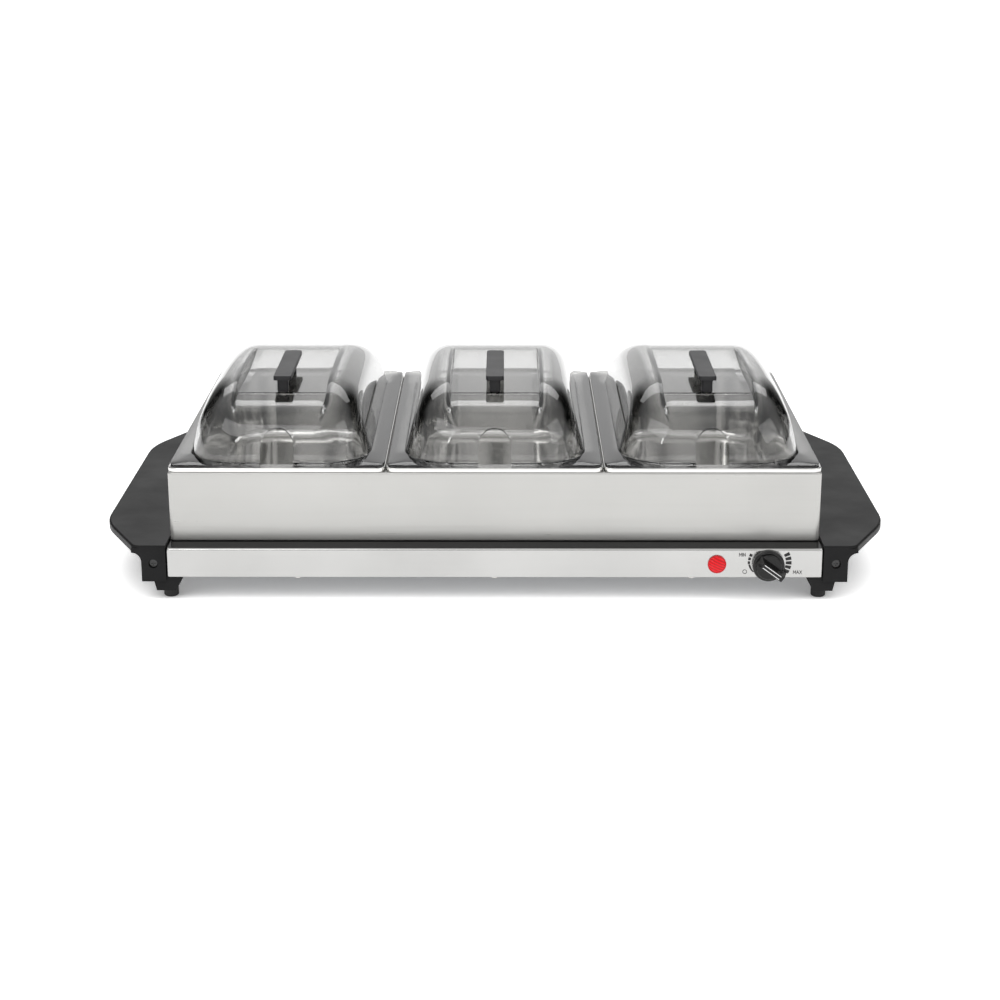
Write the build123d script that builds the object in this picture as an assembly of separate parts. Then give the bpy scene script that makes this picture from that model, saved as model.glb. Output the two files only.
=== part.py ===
from build123d import *
from math import cos, radians, sin, sqrt, tan
import os

# Electric buffet server: a warming tray carries a lift-off frame, the frame
# holds three lift-out pans, and each pan has a lift-off clear lid.
# Millimetres, +Z up, front towards -Y, origin on the standing surface at the
# middle of the overall box.

# ---- driving dimensions ----
TRAY_W = 512.0            # steel tray, left to right
TRAY_D = 364.0            # steel tray, front to back
TRAY_BOTTOM = 19.2        # underside of the steel tray above the surface
TRAY_TOP = 42.6           # top surface of the tray
TRAY_R = 3.0              # vertical corner radius of the tray
SHEET = 1.0               # tray sheet thickness
HEM = 8.0                 # inward return along the tray's lower edge

FRAME_W = 510.0
FRAME_D = 324.0
FRAME_TOP = 98.2
FRAME_R = 4.0
FRAME_SHEET = 0.9
FRAME_LIP = 8.0           # inward lip around the frame's top
SEAM_PLATE_L = 30.0
RIVET_R = 1.6

PAN_COUNT = 3
PAN_PITCH = FRAME_W / PAN_COUNT
PAN_GAP = 0.4             # gap between neighbouring pan rims
PAN_RIM_TOP = 101.8
PAN_BOTTOM = 45.6
PAN_SHEET = 0.9
WELL_W = 146.0            # pan well at the rim, inside
WELL_D = 302.0
WELL_R = 40.0
WELL_TAPER = 5.0          # degrees
BEAD_W = 2.8              # rolled edge of the rim

LID_FLANGE_TOP = 104.0
LID_TOP = 156.0           # crest of the dome
LID_CREST_Y = -66.0       # where the crest crosses, from the lid's middle
LID_FRONT_POWER = 2.23    # fullness of the arch ahead of the crest
LID_REAR_POWER = 2.5      # and behind it
LID_WALL = 2.2
LID_W = 143.2             # dome at its base, outside
LID_D = 306.0
LID_R = 38.0
LID_SHOULDER_R = 27.3
LID_DRAFT = 15.2          # degrees, side walls
LID_STATIONS = 8          # cross-sections on each side of the crest
RECESS_FLOOR = 146.7
RECESS_NOSE = 142.1       # the floor's slope carried on to the lid's front end
RECESS_BREAK_Y = -99.0    # where the level floor starts to slope, from the lid's middle
RECESS_HALF_W = 36.0
RECESS_RISE_Y = -20.0     # where it starts to rise again towards the rear
RECESS_REAR_SLOPE = 5.4   # degrees
NOTCH_W = 26.0
NOTCH_TOP = 129.0

GRIP_TOP = 160.0
GRIP_W = 14.4             # lid handle bar
GRIP_THICK = 3.4
GRIP_FRONT = -98.0        # front end of the bar, from the lid's middle
GRIP_BACK = -2.0
GRIP_SCREW_R = 1.7
POST_W = 8.6
POST_L = 8.0
WASHER = 0.8              # under each of the handle's screws

HANDLE_REACH = 313.5      # outer edge of a side handle from the middle
HANDLE_TOP = 44.7
HANDLE_PLATE = 3.0
HANDLE_LIP_BOTTOM = 39.2
BLOCK_W = 19.0            # end block under a handle, out from the tray side
BLOCK_L = 32.0
BLOCK_BOTTOM = 15.6
FOOT_X = 254.6
FOOT_Y = TRAY_D / 2 - 13.6
FOOT_R = 5.8
FOOT_H = 7.8

KNOB_X = 212.8
KNOB_Z = 30.1
KNOB_R = 12.4
KNOB_PROUD = 18.0         # how far the knob stands out of the tray's front
KNOB_REST = -36.0         # degrees above +X where the pointer rests, at maximum
KNOB_GRIP_HALF = 4.6      # half width of the grip bar where it meets the hub
KNOB_GRIP_REACH = 14.2    # from the spindle to the bar's tip
KNOB_GRIP_TAIL = 10.6
KNOB_GRIP_TAPER = 10.5    # degrees
DIAL_X = 213.8            # the printed scale's centre, a little up and right of the spindle
DIAL_Z = 31.6
DIAL_OUTER = 16.9
SPINDLE_R = 3.0
LAMP_X = 173.0
LAMP_Z = 30.3
LAMP_R = 7.2

GLAND_X = 190.0
GLAND_Z = 31.0
GLAND_PROUD = 12.0
GLAND_BORE_R = 3.6

ELEMENT_R = 1.2           # heater cord
ELEMENT_PITCH = 28.0
ELEMENT_RUNS = 11
ELEMENT_HALF = 212.0      # half length of a straight run
FOIL = 0.6
PAD = 4.0
RETAINER = 0.8

FIT = 0.05                # radial clearance of screws, rivets, studs and pegs

# ---- worked out ----
FRONT = -TRAY_D / 2                       # front face of the tray
BACK = TRAY_D / 2
SIDE = TRAY_W / 2
MID_SHIFT = (KNOB_PROUD - GLAND_PROUD) / 2  # puts the origin at the box's middle
PAN_NAMES = ("left", "middle", "right")
PAN_X = [PAN_PITCH * (i - 1) for i in range(PAN_COUNT)]
ELEMENT_Z = TRAY_TOP - SHEET - ELEMENT_R
FOIL_TOP = ELEMENT_Z - ELEMENT_R
PAD_TOP = FOIL_TOP - FOIL
RETAINER_TOP = PAD_TOP - PAD
COVER_BOTTOM = TRAY_BOTTOM + SHEET
HEATER_X = 245.0                          # half width of the heater plates
HEATER_Y = (-150.0, 160.0)


# ---- shape helpers ----
def block(x0, x1, y0, y1, z0, z1):
    size = Box(x1 - x0, y1 - y0, z1 - z0)
    return Pos((x0 + x1) / 2, (y0 + y1) / 2, (z0 + z1) / 2) * size


def post_z(x, y, z0, z1, radius):
    return Pos(x, y, (z0 + z1) / 2) * Cylinder(radius, z1 - z0)


def post_y(x, z, y0, y1, radius):
    return Pos(x, (y0 + y1) / 2, z) * Rot(90, 0, 0) * Cylinder(radius, y1 - y0)


def post_x(y, z, x0, x1, radius):
    return Pos((x0 + x1) / 2, y, z) * Rot(0, 90, 0) * Cylinder(radius, x1 - x0)


def prism(width, depth, radius, z0, z1, taper=0.0):
    outline = Pos(0, 0, z0) * RectangleRounded(width, depth, radius)
    return extrude(outline, amount=z1 - z0, taper=taper)


def level_edges(solid, height):
    return [e for e in solid.edges() if abs(e.center().Z - height) < 1e-3]


def group(pieces):
    return Compound(children=[p if isinstance(p, Solid) else p.solid() for p in pieces])


def save(name, shape):
    placed = Pos(0, MID_SHIFT, 0) * shape
    export_step(placed, os.path.join("parts", name + ".step"))


# ---- warming tray ----
SIDE_SCREW_Y = (-120.0, 0.0, 120.0)
SIDE_SCREW_Z = 31.0
SIDE_SCREW_R = 2.0
END_SCREW_X = SIDE + 9.8  # screw through each end block
END_SCREW_Z = 30.0
END_SCREW_R = 1.7
COVER_SCREW_R = 1.6
BUSH_R = 3.9
NECK_R = 6.0              # lamp barrel
STUD_R = 2.0
STUD_X = 238.0
STUD_Y = (-120.0, 140.0)


def cover_screw_places():
    inset = HEM / 2 + SHEET
    xs = (-SIDE * 0.6, 0.0, SIDE * 0.6)
    return [(x, y) for x in xs for y in (FRONT + inset, BACK - inset)]


def tray_shell():
    outer = prism(TRAY_W, TRAY_D, TRAY_R, TRAY_BOTTOM, TRAY_TOP)
    outer = fillet(level_edges(outer, TRAY_TOP), 1.8)
    outer = fillet(level_edges(outer, TRAY_BOTTOM), 0.8)
    void = prism(TRAY_W - 2 * SHEET, TRAY_D - 2 * SHEET, TRAY_R - SHEET,
                 TRAY_BOTTOM + SHEET, TRAY_TOP - SHEET)
    void = fillet(level_edges(void, TRAY_TOP - SHEET), 0.8)
    window = prism(TRAY_W - 2 * HEM, TRAY_D - 2 * HEM, TRAY_R,
                   TRAY_BOTTOM - 1, TRAY_BOTTOM + SHEET + 1)
    shell = outer - void - window
    shell -= post_y(LAMP_X, LAMP_Z, FRONT - 1, FRONT + 2, NECK_R + FIT)
    shell -= post_y(KNOB_X, KNOB_Z, FRONT - 1, FRONT + 2, BUSH_R + FIT)
    shell -= post_y(GLAND_X, GLAND_Z, BACK - 2, BACK + 1, GLAND_BORE_R + 2.4 + FIT)
    for y in SIDE_SCREW_Y:
        shell -= post_x(y, SIDE_SCREW_Z, -SIDE - 1, SIDE + 1, SIDE_SCREW_R + FIT)
    for x, y in cover_screw_places():
        shell -= post_z(x, y, TRAY_BOTTOM - 1, TRAY_BOTTOM + 2, COVER_SCREW_R + FIT)
    return shell


def bottom_cover():
    plate = prism(TRAY_W - 2 * SHEET - 1, TRAY_D - 2 * SHEET - 1, TRAY_R - SHEET,
                  COVER_BOTTOM, COVER_BOTTOM + SHEET)
    slot = Box(46, 3, 4)
    for row in range(5):
        for column in (-1, 0, 1):
            plate -= Pos(110 * column, 18 * (row - 2), COVER_BOTTOM) * slot
    for x, y in cover_screw_places():
        plate -= post_z(x, y, COVER_BOTTOM - 1, COVER_BOTTOM + 2, COVER_SCREW_R + FIT)
    return plate


def cover_screws():
    screws = []
    for x, y in cover_screw_places():
        head = post_z(x, y, TRAY_BOTTOM - 1.4, TRAY_BOTTOM, 3.0)
        head = fillet(level_edges(head, TRAY_BOTTOM - 1.4), 0.7)
        shank = post_z(x, y, TRAY_BOTTOM, COVER_BOTTOM + 5, COVER_SCREW_R)
        screws.append(head + shank)
    return group(screws)


def handle_outline():
    lead = 115.0          # half length where the outer edge would meet the slope
    corner_x = SIDE + 25
    points = [(SIDE, FRONT), (corner_x, FRONT), (HANDLE_REACH, -lead),
              (HANDLE_REACH, lead), (corner_x, BACK), (SIDE, BACK)]
    face = make_face(Polyline(*points, close=True).edges())
    big = [v for v in face.vertices() if v.X > HANDLE_REACH - 1]
    face = fillet(big, 90)
    small = [v for v in face.vertices() if abs(v.X - corner_x) < 0.1]
    return fillet(small, 9)


def handle_end(direction):
    """Block, concave brace and foot block at one end; direction -1 is the front."""
    end = direction * TRAY_D / 2
    inner = end - direction * BLOCK_L
    y0, y1 = min(end, inner), max(end, inner)
    body = block(SIDE, SIDE + BLOCK_W, y0, y1, BLOCK_BOTTOM, HANDLE_TOP - 1)
    brace = 7.6
    lip = block(SIDE + BLOCK_W, SIDE + BLOCK_W + brace, y0, y1,
                HANDLE_LIP_BOTTOM - brace, HANDLE_TOP - 2)
    lip -= post_y(SIDE + BLOCK_W + brace, HANDLE_LIP_BOTTOM - brace, y0 - 1, y1 + 1, brace)
    foot_inner = FOOT_Y - 9
    foot_y = sorted((direction * (TRAY_D / 2 - 1.5), direction * foot_inner))
    profile = [(SIDE + 10, BLOCK_BOTTOM + 1), (SIDE + 8, FOOT_H), (SIDE - 7.2, FOOT_H),
               (SIDE - 13.4, TRAY_BOTTOM), (SIDE, TRAY_BOTTOM), (SIDE, BLOCK_BOTTOM + 1)]
    face = make_face(Polyline(*[(x, 0, z) for x, z in profile], close=True).edges())
    foot = extrude(face, amount=foot_y[1] - foot_y[0], dir=(0, 1, 0))
    foot = Pos(0, foot_y[0], 0) * foot
    recess_y = sorted((end + direction, end - 4 * direction))
    recess = post_y(END_SCREW_X, END_SCREW_Z, recess_y[0], recess_y[1], 3.6)
    shank_y = sorted((end, end - 14 * direction))
    shank = post_y(END_SCREW_X, END_SCREW_Z, shank_y[0], shank_y[1], END_SCREW_R + FIT)
    socket = post_z(FOOT_X, direction * FOOT_Y, FOOT_H - 1, FOOT_H + 4, 2.5 + FIT)
    return body + lip + foot - recess - shank - socket


def handle():
    outline = handle_outline()
    plate = extrude(Pos(0, 0, HANDLE_LIP_BOTTOM) * outline, amount=HANDLE_TOP - HANDLE_LIP_BOTTOM)
    rim = [e for e in level_edges(plate, HANDLE_TOP) if e.center().X > SIDE + 1]
    plate = fillet(rim, 1.8)
    hollow = offset(outline, amount=-3.0)
    underside = extrude(Pos(0, 0, HANDLE_LIP_BOTTOM - 1) * hollow,
                        amount=HANDLE_TOP - HANDLE_PLATE - HANDLE_LIP_BOTTOM + 1)
    plate -= underside
    wall = block(SIDE, SIDE + 3.5, FRONT, BACK, TRAY_BOTTOM, HANDLE_TOP - 1)
    moulding = plate + wall + handle_end(-1) + handle_end(1)
    rib = block(SIDE + 3, HANDLE_REACH - 4, -1.2, 1.2, HANDLE_LIP_BOTTOM, HANDLE_TOP - 1)
    for y in SIDE_SCREW_Y:
        moulding += post_x(y, SIDE_SCREW_Z, SIDE, SIDE + 9, 4.5)
        moulding += Pos(0, y, 0) * rib
        moulding -= post_x(y, SIDE_SCREW_Z, SIDE - 1, SIDE + 8, SIDE_SCREW_R + FIT)
    return moulding


def handle_end_screws():
    screws = []
    for side in (-1, 1):
        for end in (-1, 1):
            seat = end * (TRAY_D / 2 - 4)
            head_y = sorted((seat, seat + end * 1.8))
            head = post_y(side * END_SCREW_X, END_SCREW_Z, head_y[0], head_y[1], 3.0)
            slot_y = seat + end * 1.8
            head -= Pos(side * END_SCREW_X, slot_y, END_SCREW_Z) * Box(3.6, 1.4, 0.8)
            head -= Pos(side * END_SCREW_X, slot_y, END_SCREW_Z) * Box(0.8, 1.4, 3.6)
            tail_y = sorted((seat, seat - end * 10))
            shank = post_y(side * END_SCREW_X, END_SCREW_Z, tail_y[0], tail_y[1], END_SCREW_R)
            screws.append(head + shank)
    return group(screws)


def handle_side_screws():
    screws = []
    for side in (-1, 1):
        for y in SIDE_SCREW_Y:
            inner = side * (SIDE - SHEET)
            head_x = sorted((inner, inner - side * 1.8))
            shank_x = sorted((inner, side * (SIDE + 8)))
            head = post_x(y, SIDE_SCREW_Z, head_x[0], head_x[1], 3.6)
            screws.append(head + post_x(y, SIDE_SCREW_Z, shank_x[0], shank_x[1], SIDE_SCREW_R))
    return group(screws)


def rubber_foot(side, end):
    x, y = side * FOOT_X, end * FOOT_Y
    pad = post_z(x, y, 0, FOOT_H, FOOT_R)
    pad = fillet(level_edges(pad, 0), 1.6)
    return pad + post_z(x, y, FOOT_H, FOOT_H + 4, 2.5)


# ---- heater ----
def element_y(run):
    return (run - (ELEMENT_RUNS - 1) / 2) * ELEMENT_PITCH + 12


def heater_cord():
    route = []
    side = -1
    for run in range(ELEMENT_RUNS):
        y = element_y(run)
        start = (side * ELEMENT_HALF, y, ELEMENT_Z)
        stop = (-side * ELEMENT_HALF, y, ELEMENT_Z)
        route.append(Line(start, stop))
        if run < ELEMENT_RUNS - 1:
            top = (-side * (ELEMENT_HALF + ELEMENT_PITCH / 2), y + ELEMENT_PITCH / 2, ELEMENT_Z)
            following = (-side * ELEMENT_HALF, y + ELEMENT_PITCH, ELEMENT_Z)
            route.append(ThreePointArc(stop, top, following))
        side = -side
    path = Wire([piece.edge() for piece in route])
    section = Plane(origin=path @ 0, z_dir=path % 0) * Circle(ELEMENT_R)
    return sweep(section, path=path)


def heater_plate(z_top, thick):
    plate = block(-HEATER_X, HEATER_X, HEATER_Y[0], HEATER_Y[1], z_top - thick, z_top)
    for x in (-STUD_X, STUD_X):
        for y in STUD_Y:
            plate -= post_z(x, y, z_top - thick - 1, z_top + 1, STUD_R + FIT)
    return plate


def heater_studs():
    studs = []
    for x in (-STUD_X, STUD_X):
        for y in STUD_Y:
            studs.append(post_z(x, y, 28, TRAY_TOP - SHEET, STUD_R))
    return group(studs)


def stud_nuts():
    nuts = []
    bottom = RETAINER_TOP - RETAINER - 3
    for x in (-STUD_X, STUD_X):
        for y in STUD_Y:
            nut = extrude(Pos(x, y, bottom) * RegularPolygon(3.9, 6), amount=3)
            nuts.append(nut - post_z(x, y, bottom - 1, bottom + 4, STUD_R + FIT))
    return group(nuts)


# ---- controls ----
def thermostat_body():
    y0 = FRONT + 4
    body = block(KNOB_X - 12, KNOB_X + 12, y0, y0 + 18, 22.8, 39.6)
    body = fillet(body.edges().filter_by(Axis.Y), 2)
    bush = post_y(KNOB_X, KNOB_Z, FRONT - 2.6, y0, BUSH_R)
    tabs = block(KNOB_X - 9, KNOB_X - 5, y0 + 18, y0 + 25, 25, 25.8)
    tabs += block(KNOB_X + 5, KNOB_X + 9, y0 + 18, y0 + 25, 25, 25.8)
    bore = post_y(KNOB_X, KNOB_Z, FRONT - 4, y0 + 10, SPINDLE_R + 0.06)
    return body + bush + tabs - bore


def thermostat_bracket():
    plate = block(KNOB_X - 14, KNOB_X + 14, FRONT + 3, FRONT + 4, 22.4, 39.8)
    foot = block(KNOB_X - 14, KNOB_X + 14, FRONT + 2.2, FRONT + 3, 22.4, 26)
    plate -= post_y(KNOB_X, KNOB_Z, FRONT + 2, FRONT + 5, BUSH_R + FIT)
    return plate + foot


def thermostat_nut():
    face = Plane(origin=(KNOB_X, FRONT, KNOB_Z), x_dir=(1, 0, 0), z_dir=(0, -1, 0)) * RegularPolygon(5.8, 6)
    nut = extrude(face, amount=2.2)
    return nut - post_y(KNOB_X, KNOB_Z, FRONT - 4, FRONT + 1, BUSH_R + FIT)


def knob_frame(shape):
    """Move a knob drawn at the origin, pointing along +X and facing -Y, to its place."""
    return Pos(KNOB_X, FRONT, KNOB_Z) * Rot(0, -KNOB_REST, 0) * shape


def knob_body():
    skirt = post_y(0, 0, -6, -1, KNOB_R)
    skirt = fillet([e for e in skirt.edges() if abs(e.center().Y + 6) < 1e-3], 1.6)
    hub = post_y(0, 0, -9, -5, KNOB_R - 2.4)
    hub = fillet([e for e in hub.edges() if abs(e.center().Y + 9) < 1e-3], 1.2)
    half = KNOB_GRIP_HALF
    face = Plane.XZ * Pos((KNOB_GRIP_REACH - KNOB_GRIP_TAIL) / 2, 0) * Rectangle(
        KNOB_GRIP_REACH + KNOB_GRIP_TAIL, 2 * half)
    grip = extrude(Pos(0, -5, 0) * face, amount=KNOB_PROUD - 5, dir=(0, -1, 0), taper=KNOB_GRIP_TAPER)
    front = [e for e in grip.edges() if abs(e.center().Y + KNOB_PROUD) < 1e-3]
    grip = fillet(front, 0.5)
    cavity = post_y(0, 0, -4.5, 0, 7.4)
    bore = post_y(0, 0, -13, -4, SPINDLE_R + FIT)
    return knob_frame(skirt + hub + grip - cavity - bore - pointer_lines(1.0))


def pointer_lines(stand):
    """The two inlaid lines on the grip's ridge, standing out of it by stand."""
    low, high = [block(-6.8, 9.2, -KNOB_PROUD - stand, -KNOB_PROUD + 0.5, z - 0.25, z + 0.25)
                 for z in (-1.3, 1.3)]
    return low + high


def knob_pointer():
    return group(knob_frame(pointer_lines(0)).solids())


def thermostat_spindle():
    shaft = post_y(0, 0, -13, 12, SPINDLE_R)
    return knob_frame(shaft)


def indicator_lens():
    bezel = post_y(LAMP_X, LAMP_Z, FRONT - 1.2, FRONT, LAMP_R)
    cap = Pos(LAMP_X, FRONT + 9, LAMP_Z) * Sphere(12.0)
    cap &= post_y(LAMP_X, LAMP_Z, FRONT - 3, FRONT - 1.2, LAMP_R - 0.6)
    barrel = post_y(LAMP_X, LAMP_Z, FRONT, FRONT + 12, NECK_R)
    hollow = post_y(LAMP_X, LAMP_Z, FRONT + 0.6, FRONT + 13, NECK_R - 1.4)
    return bezel + cap + barrel - hollow


def lamp_nut():
    ring = post_y(LAMP_X, LAMP_Z, FRONT + SHEET, FRONT + SHEET + 2.4, 7.9)
    return ring - post_y(LAMP_X, LAMP_Z, FRONT, FRONT + 5, NECK_R + FIT)


def neon_lamp():
    glass = post_y(LAMP_X, LAMP_Z, FRONT + 3, FRONT + 16, 2.4)
    glass = fillet([e for e in glass.edges() if abs(e.center().Y - FRONT - 3) < 1e-3], 1.4)
    for dx in (-1, 1):
        glass += post_y(LAMP_X + dx, LAMP_Z, FRONT + 16, FRONT + 24, 0.4)
    return glass


def ring_mark(start, stop, inner, outer, shrink=0.0):
    """Printed arc on the tray's front, angles in degrees above +X; shrink draws its far end in."""
    def spot(radius, angle):
        return (radius * cos(radians(angle)), radius * sin(radians(angle)))

    middle = (start + stop) / 2
    near = [spot(inner, start), spot(inner - 0.3 * shrink, middle), spot(inner - shrink / 2, stop)]
    far = [spot(outer - shrink, stop), spot(outer - 0.4 * shrink, middle), spot(outer, start)]
    arc_in = ThreePointArc(*near)
    arc_out = ThreePointArc(*far)
    edges = [arc_in.edge(), Line(arc_in @ 1, arc_out @ 0).edge(), arc_out.edge(),
             Line(arc_out @ 1, arc_in @ 0).edge()]
    return make_face(edges)


LETTERS = {
    "M": (((0, 0), (0, 4)), ((0, 4), (1.5, 1.4)), ((1.5, 1.4), (3, 4)), ((3, 4), (3, 0))),
    "I": (((0, 0), (0, 4)),),
    "N": (((0, 0), (0, 4)), ((0, 4), (2.4, 0)), ((2.4, 0), (2.4, 4))),
    "A": (((0, 0), (1.4, 4)), ((1.4, 4), (2.8, 0)), ((0.5, 1.4), (2.3, 1.4))),
    "X": (((0, 0), (2.6, 4)), ((0, 4), (2.6, 0))),
}
LETTER_GAP = 1.1
LETTER_SCALE = 0.62
LETTER_STROKE = 0.44


def label(word, left, bottom):
    """Stroke lettering as flat faces, with its lower left corner at (left, bottom)."""
    faces = []
    x = 0.0
    for letter in word:
        strokes = LETTERS[letter]
        for (x0, z0), (x1, z1) in strokes:
            run = sqrt((x1 - x0) ** 2 + (z1 - z0) ** 2) * LETTER_SCALE
            tilt = degrees_of(x1 - x0, z1 - z0)
            centre = ((x + (x0 + x1) / 2) * LETTER_SCALE + left, (z0 + z1) / 2 * LETTER_SCALE + bottom)
            faces.append(Pos(*centre) * Rot(0, 0, tilt) * Rectangle(run + 0.4, LETTER_STROKE))
        x += max(max(a[0], b[0]) for a, b in strokes) + LETTER_GAP
    return faces


def degrees_of(dx, dz):
    return Vector(1, 0, 0).get_signed_angle(Vector(dx, dz, 0), Vector(0, 0, 1))


def dial_marks():
    """Scale around the knob: bars at maximum, blocks at minimum, a crescent by the off circle."""
    faces = [ring_mark(-32 + 13.2 * i, -22.5 + 13.2 * i, 12.7, DIAL_OUTER + 0.3) for i in range(5)]
    faces += [ring_mark(154 + 11.2 * i, 162 + 11.2 * i, 14.6 + 0.2 * i, DIAL_OUTER) for i in range(3)]
    faces.append(ring_mark(186, 213, 15.0, 16.5, shrink=1.6))
    faces.append(Pos(-19.0, -7.5) * (Circle(1.75) - Circle(1.3)))
    sketch = faces[0]
    for face in faces[1:]:
        sketch += face
    for face in label("MIN", -23.6, 5.1) + label("MAX", 18.8, -9.1):
        sketch += face
    plane = Plane(origin=(DIAL_X, FRONT, DIAL_Z), x_dir=(1, 0, 0), z_dir=(0, -1, 0))
    marks = extrude(plane * sketch, amount=0.12)
    return group(marks.solids())


# ---- wiring ----
LEAD_R = 1.1
LEAD_Z = 27.0


def lead(points, radius=LEAD_R, bend=8.0):
    path = FilletPolyline(*points, radius=bend)
    section = Plane(origin=path @ 0, z_dir=path % 0) * Circle(radius)
    return sweep(section, path=path)


def terminal_block():
    body = block(GLAND_X - 62, GLAND_X - 26, BACK - 26, BACK - 12, COVER_BOTTOM + SHEET, 33)
    body = fillet(body.edges().filter_by(Axis.Z), 1.5)
    for i in range(3):
        x = GLAND_X - 56 + 12 * i
        body -= post_z(x, BACK - 19, 30, 34, 2.6 + FIT)
        body -= post_y(x, LEAD_Z, BACK - 27, BACK - 22, LEAD_R + FIT)
    return body


def terminal_screws():
    screws = []
    for i in range(3):
        screws.append(post_z(GLAND_X - 56 + 12 * i, BACK - 19, 30, 32, 2.6))
    return group(screws)


def cord_gland():
    flange = post_y(GLAND_X, GLAND_Z, BACK, BACK + 2.4, 8.2)
    sleeve = post_y(GLAND_X, GLAND_Z, BACK, BACK + GLAND_PROUD, 6.4)
    sleeve = fillet([e for e in sleeve.edges() if abs(e.center().Y - BACK - GLAND_PROUD) < 1e-3], 1.0)
    neck = post_y(GLAND_X, GLAND_Z, BACK - 10, BACK, GLAND_BORE_R + 2.4)
    bore = post_y(GLAND_X, GLAND_Z, BACK - 11, BACK + GLAND_PROUD + 1, GLAND_BORE_R)
    return flange + sleeve + neck - bore


def live_lead():
    tab_x = KNOB_X - 7
    start = (GLAND_X - 32, BACK - 22, LEAD_Z)
    corner = (GLAND_X - 32, BACK - 60, LEAD_Z)
    return lead([start, corner, (tab_x, BACK - 90, LEAD_Z), (tab_x, FRONT + 24, LEAD_Z)])


def neutral_lead():
    start = (GLAND_X - 44, BACK - 22, LEAD_Z)
    return lead([start, (GLAND_X - 44, -60, LEAD_Z), (60, -100, LEAD_Z), (-180, -100, LEAD_Z)])


def earth_lead():
    start = (GLAND_X - 56, BACK - 22, LEAD_Z)
    return lead([start, (GLAND_X - 56, BACK - 50, LEAD_Z), (70, BACK - 60, LEAD_Z), (40, BACK - 60, LEAD_Z)])


def earth_lug():
    plate = block(28, 40, BACK - 64, BACK - 56, LEAD_Z - 0.6, LEAD_Z + 0.6)
    stem = post_z(31, BACK - 60, COVER_BOTTOM + SHEET, LEAD_Z - 0.6, 2.2)
    return plate + stem


def thermal_cutoff():
    body = post_x(-100, LEAD_Z, -202, -180, 2.2)
    return body + post_x(-100, LEAD_Z, -206, -202, 0.6)


# ---- buffet frame ----
def frame_ring():
    outer = prism(FRAME_W, FRAME_D, FRAME_R, TRAY_TOP, FRAME_TOP)
    outer = fillet(level_edges(outer, FRAME_TOP), 1.5)
    outer = fillet(level_edges(outer, TRAY_TOP), 1.2)
    void = prism(FRAME_W - 2 * FRAME_SHEET, FRAME_D - 2 * FRAME_SHEET, FRAME_R - FRAME_SHEET,
                 TRAY_TOP + FRAME_SHEET, FRAME_TOP - FRAME_SHEET)
    void = fillet(level_edges(void, FRAME_TOP - FRAME_SHEET), 0.6)
    upper = prism(FRAME_W - 2 * FRAME_LIP, FRAME_D - 2 * FRAME_LIP, 3,
                  FRAME_TOP - 2, FRAME_TOP + 1)
    lower = prism(FRAME_W - 12, FRAME_D - 12, 3, TRAY_TOP - 1, TRAY_TOP + 2)
    ring = outer - void - upper - lower
    for x, y in crossbar_rivet_places():
        ring -= post_z(x, y, FRAME_TOP - 2, FRAME_TOP + 1, RIVET_R + FIT)
    for side, y, z in seam_rivet_places():
        wall = sorted((side * (FRAME_W / 2 + 1), side * (FRAME_W / 2 - 2)))
        ring -= post_x(y, z, wall[0], wall[1], RIVET_R + FIT)
    return ring


def crossbar_rivet_places():
    edge = FRAME_D / 2 - FRAME_LIP / 2
    xs = [side * PAN_PITCH / 2 for side in (-1, 1)]
    return [(x, y) for x in xs for y in (-edge, edge)]


def seam_rivet_places():
    return [(side, y, z) for side in (-1, 1) for y in (-9.0, 9.0) for z in (58.0, 84.0)]


def frame_half(direction):
    keep = block(-FRAME_W, FRAME_W, min(0, direction * FRAME_D), max(0, direction * FRAME_D),
                 0, FRAME_TOP + 10)
    return frame_ring() & keep


def crossbar(x):
    top = FRAME_TOP - FRAME_SHEET
    reach = FRAME_D / 2 - FRAME_SHEET - 0.6
    bar = block(x - 7, x + 7, -reach, reach, top - FRAME_SHEET, top)
    bar += block(x - 7, x + 7, -FRAME_D / 2 + FRAME_LIP, FRAME_D / 2 - FRAME_LIP, top, FRAME_TOP)
    for edge in (-7, 6.1):
        bar += block(x + edge, x + edge + 0.9, -reach, reach, top - 6, top)
    for px, py in crossbar_rivet_places():
        bar -= post_z(px, py, top - 3, top + 1, RIVET_R + FIT)
    return bar


def crossbar_rivets():
    under = FRAME_TOP - 2 * FRAME_SHEET
    rivets = []
    for x, y in crossbar_rivet_places():
        rivets.append(post_z(x, y, under, FRAME_TOP, RIVET_R) + post_z(x, y, under - 1.2, under, 2.7))
    return group(rivets)


def seam_plates():
    inner = FRAME_W / 2 - FRAME_SHEET
    plates = []
    for side in (-1, 1):
        face = sorted((side * inner, side * (inner - 1.0)))
        plate = block(face[0], face[1], -SEAM_PLATE_L / 2, SEAM_PLATE_L / 2, 50, 92)
        for place, y, z in seam_rivet_places():
            if place == side:
                plate -= post_x(y, z, face[0] - 1, face[1] + 1, RIVET_R + FIT)
        plates.append(plate)
    return group(plates)


def seam_rivets():
    rivets = []
    for side, y, z in seam_rivet_places():
        outer = side * FRAME_W / 2
        inner = side * (FRAME_W / 2 - FRAME_SHEET - 1.0)
        span = sorted((inner, outer))
        head = sorted((outer, outer + side * 0.7))
        tail = sorted((inner, inner - side * 1.0))
        rivets.append(post_x(y, z, span[0], span[1], RIVET_R) + post_x(y, z, head[0], head[1], 2.8)
                      + post_x(y, z, tail[0], tail[1], 2.6))
    return group(rivets)


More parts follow.
